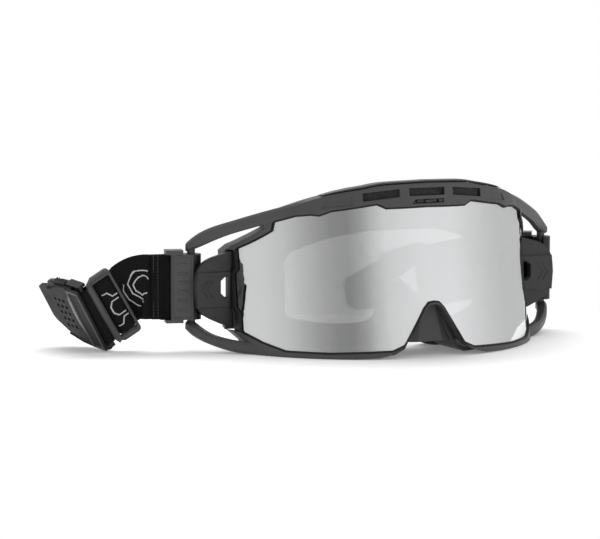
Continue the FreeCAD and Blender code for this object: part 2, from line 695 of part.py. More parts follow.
def make_slider():
    body = doc.addObject("PartDesign::Body", "strap_slider")
    half_long, half_wide = dim("slider_length") / 2.0, dim("slider_width") / 2.0
    outline = [
        (-half_long, -half_wide + 2.0), (-half_long + 0.6, -half_wide + 0.6), (-half_long + 2.0, -half_wide),
        (half_long - 4.0, -half_wide), (half_long - 1.4, -half_wide + 1.8), (half_long, -half_wide + 5.5),
        (half_long, half_wide - 5.5), (half_long - 1.4, half_wide - 1.8), (half_long - 4.0, half_wide),
        (-half_long + 2.0, half_wide), (-half_long + 0.6, half_wide - 0.6), (-half_long, half_wide - 2.0),
    ]
    plate = sketch_on(body, "XY_Plane", "plate_sketch", outline, -dim("slider_thickness") / 2.0)
    pad(body, plate, "plate", "dims.slider_thickness")
    doc.recompute()
    window_edge = half_wide - dim("slider_end_bar")
    window = rectangle((-half_long + 1.5, half_long - 2.8), (-window_edge, window_edge))
    sketch = sketch_on(body, "XY_Plane", "window_sketch", window)
    pocket(body, sketch, "window", "dims.slider_thickness * 4")
    doc.recompute()
    bar = rectangle((-0.7, 0.9), (-window_edge - 1.0, window_edge + 1.0))
    bar_sketch = sketch_on(body, "XY_Plane", "bar_sketch", bar, 0.75)
    pad(body, bar_sketch, "middle_bar", "dims.slider_thickness * 0.6")
    body.Placement = local_placement(SLIDER_CENTRE, SLIDER_RUN, SLIDER_UP)
    doc.recompute()
    return keep(body, "strap_slider")


# ---------------------------------------------------------------- quick-release buckle

def buckle_outline(start, length, half):
    return [
        (start, -half), (start + length * 0.35, -half + 0.8), (start + length * 0.68, -half + 4.6),
        (start + length * 0.95, -half + 12.0), (start + length, -half + 15.0), (start + length, half - 5.6),
        (start + length * 0.94, half - 4.2), (start + length * 0.5, half - 1.2), (start, half),
    ]


def buckle_place(shape):
    shape.Placement = local_placement(BUCKLE_CENTRE, BUCKLE_RUN, BUCKLE_UP)
    return shape


def make_buckle_plate():
    """Outer shell with a grid of thumb dimples and a hood over the webbing's turn."""
    body = doc.addObject("PartDesign::Body", "buckle_plate")
    half = dim("buckle_width") / 2.0 - 1.0
    depth = dim("buckle_half_depth")
    outline = buckle_outline(5.2, dim("buckle_length") - 2.0, half)
    plate = sketch_on(body, "XY_Plane", "plate_sketch", outline, -depth)
    pad(body, plate, "plate", "dims.buckle_shell")
    doc.recompute()
    hood_top = dim("buckle_width") / 2.0 - 0.6
    hood_foot = 2.0 - hood_top
    hood = [(-4.6, hood_foot), (7.0, hood_foot), (8.0, 0.0), (7.0, hood_top), (-4.6, hood_top)]
    hood_sketch = sketch_on(body, "XY_Plane", "hood_sketch", hood, -depth - dim("hood_rise"))
    pad(body, hood_sketch, "hood", "dims.hood_rise - 0.2")
    step = sketch_on(body, "XY_Plane", "step_sketch", rectangle((5.2, 7.0), (hood_foot, half)), -depth - 0.4)
    pad(body, step, "step", "1.0")
    doc.recompute()
    dimples = body.newObject("Sketcher::SketchObject", "dimple_sketch")
    dimples.AttachmentSupport = [(plane_of(body, "XY_Plane"), "")]
    dimples.MapMode = "FlatFace"
    dimples.AttachmentOffset = Placement(Vector(0.0, 0.0, -depth), Rotation())
    for column in range(3):
        for line in range(5):
            centre = Vector(19.0 + 4.0 * column, -9.0 + 4.5 * line, 0.0)
            dimples.addGeometry(Part.Circle(centre, Vector(0.0, 0.0, 1.0), 1.1), False)
    pocket(body, dimples, "dimples", "dims.buckle_shell * 0.8")
    buckle_place(body)
    doc.recompute()
    return keep(body, "buckle_plate")


def make_buckle_frame():
    """Rear shell, cheeks and the bar that the webbing goes round."""
    half = dim("buckle_width") / 2.0
    depth, shell = dim("buckle_half_depth"), dim("buckle_shell")
    points = buckle_outline(5.2, dim("buckle_length") - 4.0, half - 1.0)
    corners = [Vector(a, b, depth - shell) for a, b in points]
    back = Part.Face(Part.makePolygon(corners + corners[:1])).extrude(Vector(0.0, 0.0, shell))
    radius = dim("buckle_bar_radius")
    bar = Part.makeCylinder(radius, 2.0 * half, Vector(0.0, -half, 0.0), Vector(0.0, 1.0, 0.0))
    body = back.fuse(bar)
    for sign in (-1.0, 1.0):
        inner, outer = sorted((sign * half, sign * (half - 1.8)))
        cheek = block((-1.2, 11.0), (inner, outer), (-depth + shell + 0.05, depth))
        body = body.fuse(cheek)
    for sign in (-1.0, 1.0):
        pin = Part.makeCylinder(
            dim("squeeze_pin_radius"), 2.0 * depth - 1.5 * shell,
            Vector(dim("squeeze_pivot"), sign * 9.0, -depth + shell + 0.05),
        )
        body = body.fuse(pin)
    feature = shaped("buckle_frame", body)
    return buckle_place(feature)


def make_squeeze(sign, name):
    """One of the two serrated squeeze pads, on a pin at the buckle's mouth."""
    depth = dim("buckle_half_depth") - dim("buckle_shell") - 0.1
    pivot = dim("squeeze_pivot")
    edge = dim("buckle_width") / 2.0 + 0.4
    outline = [(13.0, 15.5), (13.0, edge - 0.6)]
    for tooth in range(5):
        outline.append((13.6 + 2.0 * tooth, edge))
        outline.append((14.8 + 2.0 * tooth, edge - 0.9))
    outline += [(24.0, edge - 2.4), (pivot + 2.6, 10.6), (pivot + 2.6, 7.2), (pivot - 1.6, 7.2), (22.0, 14.0)]
    corners = [Vector(a, sign * b, -depth) for a, b in outline]
    arm_solid = Part.Face(Part.makePolygon(corners + corners[:1])).extrude(Vector(0.0, 0.0, 2.0 * depth))
    bore = Part.makeCylinder(
        dim("squeeze_pin_radius") + dim("running_gap"), 4.0 * depth, Vector(pivot, sign * 9.0, -2.0 * depth)
    )
    feature = shaped("squeeze_pad_" + name, arm_solid.cut(bore))
    return buckle_place(feature)


def make_receiver():
    """The buckle's other half: a tapered plate with a window and a serrated edge."""
    half = dim("strap_width") / 2.0 + 1.6
    thick = dim("receiver_thickness")
    bar = Part.makeCylinder(
        RECEIVER_BAR_RADIUS, 2.0 * half, Vector(RECEIVER_BAR, -half, 0.0), Vector(0.0, 1.0, 0.0)
    )
    body = bar
    for sign in (-1.0, 1.0):
        inner, outer = sorted((sign * half, sign * (half - 1.5)))
        body = body.fuse(block((1.7, 8.0), (inner, outer), (-thick / 2.0, thick / 2.0)))
    outline = [(6.6, -half), (6.6, half)]
    for tooth in range(6):
        outline.append((11.0 + 2.8 * tooth, half - 0.4 * tooth))
        outline.append((12.8 + 2.8 * tooth, half - 1.4 - 0.4 * tooth))
    outline += [(28.4, half - 6.0), (48.0, 6.0), (50.0, 3.0), (50.0, -9.0), (46.0, -12.6), (30.0, -14.0)]
    window = [(8.4, -12.0), (8.4, 7.0), (26.0, -1.6), (26.0, -8.4)]
    solids = []
    for points in (outline, window):
        corners = [Vector(a, b, -thick / 2.0) for a, b in points]
        solids.append(Part.Face(Part.makePolygon(corners + corners[:1])).extrude(Vector(0.0, 0.0, thick)))
    feature = shaped("buckle_receiver", body.fuse(solids[0]).cut(solids[1]))
    feature.Placement = local_placement(Vector(*STRAP_RIGHT[-1]), RECEIVER_RUN, UP)
    return feature


# ---------------------------------------------------------------- lens lock

def make_lock():
    """Sliding tab in the slot of the top bar."""
    half = dim("lock_length") / 2.0
    points = [(-half, 82.5), (-half, 84.1), (half, 84.1), (half, 82.5)]
    body = slab((rim_outer, 1.2), (rim_outer, 3.0)).common(across(flat_wire(points)))
    grip = [(-1.6, 82.6), (-1.6, 84.0), (1.6, 84.0), (1.6, 82.6)]
    body = body.fuse(slab((rim_outer, -0.3), (rim_outer, 1.4)).common(across(flat_wire(grip))))
    return shaped("lens_lock_tab", body)


# ---------------------------------------------------------------- assembly

front_frame = make_frame()
make_lens()
make_gasket()
make_vent_foam()
make_brow_cover()
carrier = make_carrier()
make_nose_guard([front_frame, carrier])
make_foam("face_foam_base", base_near, dim("foam_base"), 0.0)
make_foam("face_foam_core", core_near, dim("foam_core"), 0.8)
make_foam("face_fleece", fleece_near, dim("foam_fleece"), 0.8)
make_lock()
for side_sign, side_name in ((-1, "left"), (1, "right")):
    rest = dim("clip_rest_" + side_name)
    make_latch(side_sign, side_name)
    make_latch_pin(side_sign, side_name)
    shaped("clip_body_" + side_name, to_post(clip_body_shape(), rest, side_sign))
    shaped("clip_cover_" + side_name, to_post(clip_cover_shape(), rest, side_sign))
make_strap_left()
make_strap_right()
make_slider()
make_buckle_frame()
make_buckle_plate()
make_squeeze(1.0, "upper")
make_squeeze(-1.0, "lower")
make_receiver()
doc.recompute()

for thing in doc.Objects:
    if "Invalid" in thing.State or "Error" in thing.State:
        raise RuntimeError("failed: " + thing.Name)
os.makedirs("parts", exist_ok=True)
for thing in parts:
    shape = thing.Shape
    if shape.isNull() or not shape.isValid() or not shape.Solids:
        raise RuntimeError("bad shape: " + thing.Label)
    box = shape.BoundBox
    print("%-18s solids %d volume %9.1f  x %7.1f %7.1f  y %6.1f %6.1f  z %6.1f %6.1f" % (
        thing.Label, len(shape.Solids), shape.Volume, box.XMin, box.XMax, box.YMin, box.YMax,
        box.ZMin, box.ZMax))
    shape.exportStep("parts/%s.step" % thing.Label)
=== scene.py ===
import math

import bmesh
import bpy
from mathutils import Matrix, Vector


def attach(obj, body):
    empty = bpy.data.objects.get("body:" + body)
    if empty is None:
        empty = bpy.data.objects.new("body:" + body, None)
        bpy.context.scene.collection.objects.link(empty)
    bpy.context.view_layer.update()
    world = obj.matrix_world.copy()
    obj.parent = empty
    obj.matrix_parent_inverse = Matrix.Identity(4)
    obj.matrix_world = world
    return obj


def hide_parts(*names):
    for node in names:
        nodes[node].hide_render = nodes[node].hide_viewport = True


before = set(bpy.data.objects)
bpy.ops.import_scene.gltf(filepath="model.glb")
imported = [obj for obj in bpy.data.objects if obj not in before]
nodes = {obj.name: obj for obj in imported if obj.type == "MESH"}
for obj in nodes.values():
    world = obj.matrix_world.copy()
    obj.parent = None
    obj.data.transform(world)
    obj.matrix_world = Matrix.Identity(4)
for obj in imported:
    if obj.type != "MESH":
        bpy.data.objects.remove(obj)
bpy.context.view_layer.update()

scene = bpy.context.scene

# ------------------------------------------------------------------ camera

AZIMUTH, ELEVATION = math.radians(-25.2), math.radians(6.5)
CAMERA_AIM, CAMERA_DISTANCE = Vector((-0.0599, 0.0, 0.0456)), 2.161
FOCAL_LENGTH, SENSOR_WIDTH = 240.1, 36.0


def make_camera():
    """A long lens, from the left of the front and a little above."""
    level = math.cos(ELEVATION)
    back = Vector((math.sin(AZIMUTH) * level, -math.cos(AZIMUTH) * level, math.sin(ELEVATION)))
    camera = bpy.data.objects.new("camera", bpy.data.cameras.new("camera"))
    camera.data.sensor_fit = "HORIZONTAL"
    camera.data.sensor_width = SENSOR_WIDTH
    camera.data.lens = FOCAL_LENGTH
    camera.data.clip_end = 60.0
    camera.location = CAMERA_AIM + back * CAMERA_DISTANCE
    camera.rotation_euler = (-back).to_track_quat("-Z", "Y").to_euler()
    scene.collection.objects.link(camera)
    scene.camera = camera


make_camera()

# ------------------------------------------------------------------ node helpers

PRINCIPLED = "ShaderNodeBsdfPrincipled"


class Nodes:
    """A short way to write a node tree. An input is a number, a colour or another node's output."""

    def __init__(self, tree):
        self.tree = tree
        tree.nodes.clear()

    def add(self, kind, inputs=None, **settings):
        """A new node with its settings and inputs."""
        node = self.tree.nodes.new(kind)
        for key, value in settings.items():
            setattr(node, key, value)
        for key, value in (inputs or {}).items():
            if isinstance(value, bpy.types.NodeSocket):
                self.tree.links.new(value, node.inputs[key])
            else:
                node.inputs[key].default_value = value
        return node

    def coords(self, kind="Object"):
        """Texture coordinates: the piece's own, in metres, or its UV map."""
        return self.add("ShaderNodeTexCoord").outputs[kind]

    def math(self, operation, a, b=0.0):
        """One sum on one or two values."""
        return self.add("ShaderNodeMath", {0: a, 1: b}, operation=operation).outputs[0]

    def noise(self, coords, scale, detail=3.0, roughness=0.55):
        """Fractal noise from 0 to 1."""
        node = self.add("ShaderNodeTexNoise", {"Vector": coords, "Scale": scale, "Detail": detail,
                                              "Roughness": roughness})
        return node.outputs["Fac"]

    def fade(self, value, low, high, to_low, to_high):
        """One range of values turned into another, and held at its ends."""
        node = self.add("ShaderNodeMapRange", {"Value": value, "From Min": low, "From Max": high,
                                               "To Min": to_low, "To Max": to_high})
        return node.outputs[0]

    def bump(self, height, depth, normal=None):
        """A normal bent by a height map, on top of another normal where there is one."""
        inputs = {"Height": height, "Distance": depth, "Strength": 1.0}
        if normal is not None:
            inputs["Normal"] = normal
        return self.add("ShaderNodeBump", inputs).outputs[0]

    def blend(self, factor, low, high):
        """Two colours mixed: low where the factor is 0, high where it is 1."""
        return self.add("ShaderNodeMix", {0: factor, 6: low, 7: high}, data_type="RGBA").outputs[2]

    def surface(self, kind, inputs):
        """The shader that is the material's surface."""
        shader = self.add(kind, inputs)
        self.add("ShaderNodeOutputMaterial", {"Surface": shader.outputs[0]})


def new_material(name):
    """An empty material and its node tree."""
    material = bpy.data.materials.new(name)
    material.use_nodes = True
    return material, Nodes(material.node_tree)


def grey(value, blue=1.02):
    """A grey, by default a touch blue."""
    return (value, value, value * blue, 1.0)


# ------------------------------------------------------------------ materials


def plastic(name, tone, roughness, grain=2600.0, depth=0.00003, edge=0.0005, wear=0.35, gloss=0.45):
    """Moulded plastic: spark-eroded grain, slow tone changes, softened and slightly worn edges."""
    material, n = new_material(name)
    coords = n.coords()
    soft = n.add("ShaderNodeBevel", {"Radius": edge}, samples=6).outputs[0]
    hard = n.add("ShaderNodeNewGeometry").outputs["Normal"]
    edge_dot = n.add("ShaderNodeVectorMath", {0: soft, 1: hard}, operation="DOT_PRODUCT").outputs["Value"]
    patches = n.fade(n.noise(coords, 420.0, 3.0, 0.7), 0.35, 0.7, 0.2, 1.0)
    rubbed = n.math("MULTIPLY", n.fade(edge_dot, 0.97, 0.86, 0.0, 1.0), patches)
    slow = n.fade(n.noise(coords, 38.0, 4.0), 0.3, 0.7, 0.0, 1.0)
    unworn = n.blend(slow, grey(tone * 0.9), grey(tone * 1.1))
    n.surface(PRINCIPLED, {
        "Base Color": n.blend(n.math("MULTIPLY", rubbed, wear), unworn, grey(tone * 1.9)),
        "Roughness": n.fade(n.noise(coords, 160.0, 3.0), 0.3, 0.7, roughness - 0.05, roughness + 0.06),
        "Normal": n.bump(n.noise(coords, grain, 2.0), depth, soft),
        "Specular IOR Level": gloss})
    return material


def make_steel():
    """Drawn steel, with fine lines along the pin."""
    material, n = new_material("steel")
    stretched = n.add("ShaderNodeMapping", {"Vector": n.coords(), "Scale": (1.0, 1.0, 0.03)}).outputs[0]
    lines = n.noise(stretched, 5200.0, 3.0)
    n.surface(PRINCIPLED, {
        "Base Color": n.blend(lines, grey(0.32), grey(0.5)), "Metallic": 1.0,
        "Roughness": n.fade(lines, 0.3, 0.7, 0.24, 0.42), "Normal": n.bump(lines, 0.00001)})
    return material


def make_mirror():
    """Silver mirror coating that lets some light through, a touch uneven."""
    material, n = new_material("mirror_coating")
    coords = n.coords()
    slow = n.fade(n.noise(coords, 14.0, 2.0), 0.3, 0.7, 0.0, 1.0)
    tint = n.blend(slow, (0.655, 0.66, 0.665, 1.0), (0.685, 0.69, 0.695, 1.0))
    haze = n.fade(n.noise(coords, 60.0, 4.0), 0.3, 0.7, 0.015, 0.04)
    wave = n.bump(n.noise(coords, 30.0, 1.0), 0.00002)
    gloss = n.add("ShaderNodeBsdfGlossy", {"Color": tint, "Roughness": haze, "Normal": wave})
    clear = n.add("ShaderNodeBsdfTransparent", {"Color": grey(0.22, 1.0)})
    n.surface("ShaderNodeAddShader", {0: gloss.outputs[0], 1: clear.outputs[0]})
    return material


def make_foam(name, tone, pores):
    """Open-cell foam, or fleece where the pores are fine."""
    material, n = new_material(name)
    coords = n.coords()
    cells = n.add("ShaderNodeTexVoronoi", {"Vector": coords, "Scale": pores}).outputs["Distance"]
    fuzz = n.noise(coords, pores * 2.5, 4.0)
    height = n.math("ADD", n.math("MULTIPLY", cells, 0.8), n.math("MULTIPLY", fuzz, 0.4))
    n.surface(PRINCIPLED, {
        "Base Color": n.blend(n.fade(height, 0.2, 0.8, 0.0, 1.0), grey(tone * 0.5), grey(tone * 1.3)),
        "Roughness": 0.95, "Normal": n.bump(height, 0.0004), "Sheen Weight": 0.15})
    return material


def make_webbing():
    """Woven polyester: ribs across the webbing and a twill step along it. Its UV is in metres."""
    rib_pitch, twill_along, twill_across = 0.00085, 0.0017, 0.0011
    material, n = new_material("webbing_weave")
    uv = n.coords("UV")
    split = n.add("ShaderNodeSeparateXYZ", {"Vector": uv})
    along, across = split.outputs[0], split.outputs[1]
    ribs = n.math("SINE", n.math("MULTIPLY", along, 2.0 * math.pi / rib_pitch))
    diagonal = n.math("ADD", n.math("MULTIPLY", along, 2.0 * math.pi / twill_along),
                      n.math("MULTIPLY", across, 2.0 * math.pi / twill_across))
    twill = n.math("SINE", diagonal)
    weave = n.math("ADD", n.math("MULTIPLY", ribs, 0.45), n.math("MULTIPLY", twill, 0.55))
    height = n.math("ADD", weave, n.math("MULTIPLY", n.noise(uv, 2400.0, 3.0), 0.7))
    slow = n.fade(n.noise(uv, 90.0, 3.0), 0.3, 0.7, 0.8, 1.15)
    tone = n.math("MULTIPLY", n.fade(height, -1.0, 1.6, 0.25, 1.0), slow)
    n.surface(PRINCIPLED, {
        "Base Color": n.blend(tone, grey(0.001), grey(0.008)), "Roughness": 0.85,
        "Normal": n.bump(height, 0.00012), "Sheen Weight": 0.05, "Sheen Roughness": 0.4,
        "Specular IOR Level": 0.18})
    return material


def make_print():
    """Pale ink, broken up by the weave below it."""
    material, n = new_material("printed_line")
    grain = n.noise(n.coords(), 3500.0, 2.0)
    n.surface(PRINCIPLED, {
        "Base Color": n.blend(n.fade(grain, 0.35, 0.6, 0.0, 1.0), grey(0.30), grey(0.62)),
        "Roughness": 0.7, "Normal": n.bump(grain, 0.00004)})
    return material


def make_thread():
    """Dark sewing thread."""
    material, n = new_material("thread")
    grain = n.noise(n.coords(), 6000.0, 2.0)
    n.surface(PRINCIPLED, {
        "Base Color": n.blend(grain, grey(0.02), grey(0.07)), "Roughness": 0.6, "Sheen Weight": 0.3,
        "Normal": n.bump(grain, 0.00005)})
    return material


frame_plastic = plastic("frame_plastic", 0.064, 0.44, edge=0.0009)
inner_plastic = plastic("inner_plastic", 0.058, 0.5)
hardware_plastic = plastic("hardware_plastic", 0.028, 0.48, edge=0.0008)
clip_plastic = plastic("clip_plastic", 0.064, 0.46)
buckle_plastic = plastic("buckle_plastic", 0.010, 0.55, wear=0.9, gloss=0.22)
black_plastic = plastic("black_plastic", 0.005, 0.45)
lock_plastic = plastic("lock_plastic", 0.03, 0.3)
gloss_black = plastic("gloss_black", 0.012, 0.16, grain=900.0, depth=0.000004, wear=0.0)
rubber = plastic("rubber", 0.006, 0.55, grain=1500.0, wear=0.0, edge=0.0002)
binding = plastic("binding", 0.008, 0.7, grain=1800.0, depth=0.00008, wear=0.0, gloss=0.2)
steel = make_steel()
mirror = make_mirror()
foam_skin = make_foam("open_foam", 0.016, 1100.0)
fleece_skin = make_foam("fleece", 0.036, 2600.0)
vent_skin = make_foam("vent_foam", 0.03, 700.0)
webbing = make_webbing()
printed = make_print()
thread = make_thread()

CAD_MATERIALS = {
    "front_frame": frame_plastic, "brow_cover": frame_plastic, "lens": mirror, "lens_gasket": rubber,
    "vent_foam": vent_skin, "face_carrier": inner_plastic, "nose_guard": inner_plastic,
    "face_foam_base": foam_skin, "face_foam_core": foam_skin, "face_fleece": fleece_skin,
    "lens_lock_tab": lock_plastic, "latch_left": hardware_plastic, "latch_right": hardware_plastic,
    "latch_pin_left": steel, "latch_pin_right": steel, "clip_body_left": black_plastic,
    "clip_body_right": black_plastic, "clip_cover_left": clip_plastic, "clip_cover_right": clip_plastic,
    "strap_left": webbing, "strap_right": webbing, "strap_slider": clip_plastic,
    "buckle_frame": black_plastic, "buckle_plate": buckle_plastic, "squeeze_pad_upper": hardware_plastic,
    "squeeze_pad_lower": hardware_plastic, "buckle_receiver": hardware_plastic,
}
for node_name, node_material in CAD_MATERIALS.items():
    node_mesh = nodes[node_name].data
    node_mesh.materials.clear()
    node_mesh.materials.append(node_material)

# ------------------------------------------------------------------ mesh helpers

UP = Vector((0.0, 0.0, 1.0))
CURVE_STEPS = 24


def mm(x, y, z):
    """A point given in millimetres."""
    return Vector((x, y, z)) * 0.001


def finish_mesh(name, bm, material, body, stands_for=(), smooth=True):
    """Make the mesh a piece that rides on a body, in place of the CAD nodes it stands for."""
    mesh = bpy.data.meshes.new(name)
    bm.normal_update()
    bm.to_mesh(mesh)
    bm.free()
    mesh.materials.append(material)
    for face in mesh.polygons:
        face.use_smooth = smooth
    piece = bpy.data.objects.new(name, mesh)
    scene.collection.objects.link(piece)
    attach(piece, body)
    if stands_for:
        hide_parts(*stands_for)
    return piece


def smooth_path(points, step):
    """(centre, width direction, length so far) evenly along a Catmull-Rom curve through stations."""
    dense = []
    for i in range(len(points) - 1):
        p0 = points[max(i - 1, 0)]
        p1, p2 = points[i], points[i + 1]
        p3 = points[min(i + 2, len(points) - 1)]
        for k in range(CURVE_STEPS):
            t = k / CURVE_STEPS
            weights = (
                -0.5 * t + t * t - 0.5 * t ** 3, 1.0 - 2.5 * t * t + 1.5 * t ** 3,
                0.5 * t + 2.0 * t * t - 1.5 * t ** 3, -0.5 * t * t + 0.5 * t ** 3,
            )
            centre = sum((w * p[0] for w, p in zip(weights, (p0, p1, p2, p3))), Vector())
            dense.append((centre, p1[1].lerp(p2[1], t)))
    dense.append(points[-1])
    lengths = [0.0]
    for a, b in zip(dense, dense[1:]):
        lengths.append(lengths[-1] + (b[0] - a[0]).length)
    count = max(int(lengths[-1] / step), 2)
    path, j = [], 0
    for k in range(count + 1):
        goal = lengths[-1] * k / count
        while j < len(dense) - 2 and lengths[j + 1] < goal:
            j += 1
        t = (goal - lengths[j]) / max(lengths[j + 1] - lengths[j], 1e-9)
        path.append((dense[j][0].lerp(dense[j + 1][0], t), dense[j][1].lerp(dense[j + 1][1], t), goal))
    return path


def frames_along(path):
    """(centre, across, through, length so far) at each point of a path."""
    rows = []
    for i, (centre, up, length) in enumerate(path):
        run = (path[min(i + 1, len(path) - 1)][0] - path[max(i - 1, 0)][0]).normalized()
        across = (up - run * up.dot(run)).normalized()
        rows.append((centre, across, run.cross(across), length))
    return rows


def skin(bm, rings, closed=False, wrap=True):
    """Faces from each ring of points to the next. wrap joins a ring's end to its start."""
    size = len(rings[0])
    following = rings[1:] + rings[:1] if closed else rings[1:]
    for first, second in zip(rings, following):
        for k in range(size if wrap else size - 1):
            j = (k + 1) % size
            bm.faces.new((first[k], first[j], second[j], second[k]))


def cap_ends(bm, first, last):
    """Close a skin at its first and last rings."""
    bm.faces.new(first)
    bm.faces.new(list(reversed(last)))


def inset(points, amount):
    """A closed outline moved inwards by a small amount."""
    turn = sum(a[0] * b[1] - b[0] * a[1] for a, b in zip(points, points[1:] + points[:1]))
    sign = 1.0 if turn > 0.0 else -1.0
    result = []
    for i, point in enumerate(points):
        here = Vector(point)
        run_in = (here - Vector(points[i - 1])).normalized()
        run_out = (Vector(points[(i + 1) % len(points)]) - here).normalized()
        side_in = Vector((-run_in.y, run_in.x)) * sign
        side_out = Vector((-run_out.y, run_out.x)) * sign
        mean = side_in + side_out
        result.append(here + mean * (amount / max(mean.dot(side_in), 0.4)))
    return [tuple(point) for point in result]


def pad(bm, outline, place, low, high, chamfer=0.3):
    """A raised pad with a chamfered top edge: place(u, v, w) gives points, w is the height."""
    levels = [(outline, low), (outline, high - chamfer), (inset(outline, chamfer), high)]
    rings = [[bm.verts.new(place(u, v, w)) for u, v in points] for points, w in levels]
    skin(bm, rings)
    bm.faces.new(list(reversed(rings[0])))
    bm.faces.new(rings[-1])


BEAD = [(-1.0, -0.3), (-0.92, 0.45), (-0.55, 0.9), (0.0, 1.0), (0.55, 0.9), (0.92, 0.45), (1.0, -0.3)]


def bead(bm, path, place, radius, height, closed=False, base=0.0):
    """A low rounded ridge along a flat path, with BEAD as its section."""
    count = len(path)
    rings = []
    for i, point in enumerate(path):
        here = Vector(point)
        before = Vector(path[i - 1]) if (closed or i > 0) else here
        after = Vector(path[(i + 1) % count]) if (closed or i < count - 1) else here
        run_in = (here - before).normalized() if here != before else (after - here).normalized()
        run_out = (after - here).normalized() if here != after else run_in
        side_in = Vector((-run_in.y, run_in.x))
        mean = side_in + Vector((-run_out.y, run_out.x))
        mean *= radius / max(mean.dot(side_in), 0.5)
        rings.append([bm.verts.new(place(here.x + mean.x * a, here.y + mean.y * a, base + height * b))
                      for a, b in BEAD])
    skin(bm, rings, closed, wrap=False)
    if not closed:
        cap_ends(bm, rings[0], rings[-1])


def tube(bm, path, radius, closed=True, sides=8):
    """A round cord along points in space."""
    rings = []
    for i, point in enumerate(path):
        after = path[(i + 1) % len(path)] if closed else path[min(i + 1, len(path) - 1)]
        before = path[i - 1] if closed or i else point
        run = (after - before).normalized()
        side = run.cross(Vector((0.0, 1.0, 0.0))).normalized()
        other = run.cross(side)
        rings.append([bm.verts.new(point + side * (radius * math.cos(2.0 * math.pi * k / sides))
                                   + other * (radius * math.sin(2.0 * math.pi * k / sides)))
                      for k in range(sides)])
    skin(bm, rings, closed)
    if not closed:
        cap_ends(bm, rings[0], rings[-1])


def rounded_box(u0, u1, v0, v1, radius=0.8, steps=4):
    """A rectangle with rounded corners."""
    points = []
    for cu, cv, start in ((u1 - radius, v1 - radius, 0.0), (u0 + radius, v1 - radius, 90.0),
                          (u0 + radius, v0 + radius, 180.0), (u1 - radius, v0 + radius, 270.0)):
        for step in range(steps + 1):
            angle = math.radians(start + 90.0 * step / steps)
            points.append((cu + radius * math.cos(angle), cv + radius * math.sin(angle)))
    return points


def square_up(run, up):
    """Three square axes: along run, across it towards up, and through both."""
    along = Vector(run).normalized()
    width = (Vector(up) - along * Vector(up).dot(along)).normalized()
    return along, width, along.cross(width)


# ------------------------------------------------------------------ places on the parts

POST_X, POST_Y, CLIP_MIDDLE, BAR_REACH = 107.9, 37.0, 35.0, 12.3
LEFT_ANGLE, RIGHT_ANGLE = 15.0, 150.0
SIDES = ((-1, LEFT_ANGLE, "left"), (1, RIGHT_ANGLE, "right"))
SLIDER_AXES = square_up((-0.84, 0.12, -0.53), (-0.55, -0.17, 0.80))
BUCKLE_AXES = square_up((-0.204, 0.975, 0.090), (-0.514, -0.152, 0.846))
RECEIVER_AXES = square_up((-0.96, 0.24, -0.14), (0.0, 0.0, 1.0))
SLIDER_WIDTH, BUCKLE_WIDTH, RECEIVER_WIDTH = SLIDER_AXES[1], BUCKLE_AXES[1], RECEIVER_AXES[1]


def from_axes(centre, axes):
    """place(u, v, w) for a part with its own axes: u along the strap, v across it, w outwards."""
    along, width, inward = axes
    return lambda u, v, w: centre + (along * u + width * v - inward * w) * 0.001


on_slider = from_axes(mm(-149.5, 47.6, 25.4), SLIDER_AXES)
on_buckle = from_axes(mm(-159.8, 49.4, 19.4), BUCKLE_AXES)
on_receiver = from_axes(mm(55.0, 69.8, 29.8), RECEIVER_AXES)


def at_clip(side, angle, reach, depth, height=CLIP_MIDDLE):
    """A point given from the post: straight out along the clip, and through it."""
    turn = math.radians(angle)
    x = POST_X + reach * math.cos(turn) - depth * math.sin(turn)
    y = POST_Y + reach * math.sin(turn) + depth * math.cos(turn)
    return mm(side * x, y, height)


def on_clip(side, angle, face=-5.6):
    """place(u, v, w) on a clip: u out from the post, v up, w outwards from the cover's face."""
    return lambda u, v, w: at_clip(side, angle, u, face - w, v)


def on_latch(side, face):
    """place(u, v, w) on a latch: u out from the middle, v up, w outwards from its face."""
    return lambda u, v, w: mm(side * u, face - w, v)


def on_rim(shift=0.0):
    """place(u, v, w) on the rim's bowed and leaning face: u is x, v is z, w outwards."""
    def place(u, v, w):
        foot = 52.0 + 0.15 * (v - 30.0) + shift
        return mm(u, foot - math.sqrt((94.5 + w) ** 2 - u * u), v)
    return place


# ------------------------------------------------------------------ straps

STRAP_WIDTH, STRAP_THICK, STRAP_STEP = 0.0354, 0.0016, 0.0006
CROWN, SELVEDGE, COLUMNS = 0.00025, 0.06, 30


def ribbon(rows):
    """Webbing: a flat band with rounded selvedges, UV in metres."""
    bm = bmesh.new()
    uv = bm.loops.layers.uv.new("UVMap")
    section = []
    for k in range(COLUMNS + 1):
        v = -0.5 + k / COLUMNS
        ease = 1.0 - max(0.0, abs(v) * 2.0 - (1.0 - SELVEDGE)) / SELVEDGE
        section.append((v * STRAP_WIDTH, STRAP_THICK / 2.0 * (0.35 + 0.65 * math.sqrt(max(ease, 0.0)))))
    loop = [(v, h + CROWN * (1.0 - (2.0 * v / STRAP_WIDTH) ** 2)) for v, h in section]
    loop += [(v, -h) for v, h in reversed(section)]
    rings = []
    for centre, across, through, length in rows:
        rings.append([bm.verts.new(centre + across * v + through * h) for v, h in loop])
    size = len(loop)
    for i in range(len(rings) - 1):
        for j in range(size):
            k = (j + 1) % size
            face = bm.faces.new((rings[i][j], rings[i][k], rings[i + 1][k], rings[i + 1][j]))
            places = ((i, j), (i, k), (i + 1, k), (i + 1, j))
            for corner, (row, column) in zip(face.loops, places):
                corner[uv].uv = (rows[row][3], loop[column][0])
    bm.faces.new(list(reversed(rings[0])))
    bm.faces.new(rings[-1])
    return bm


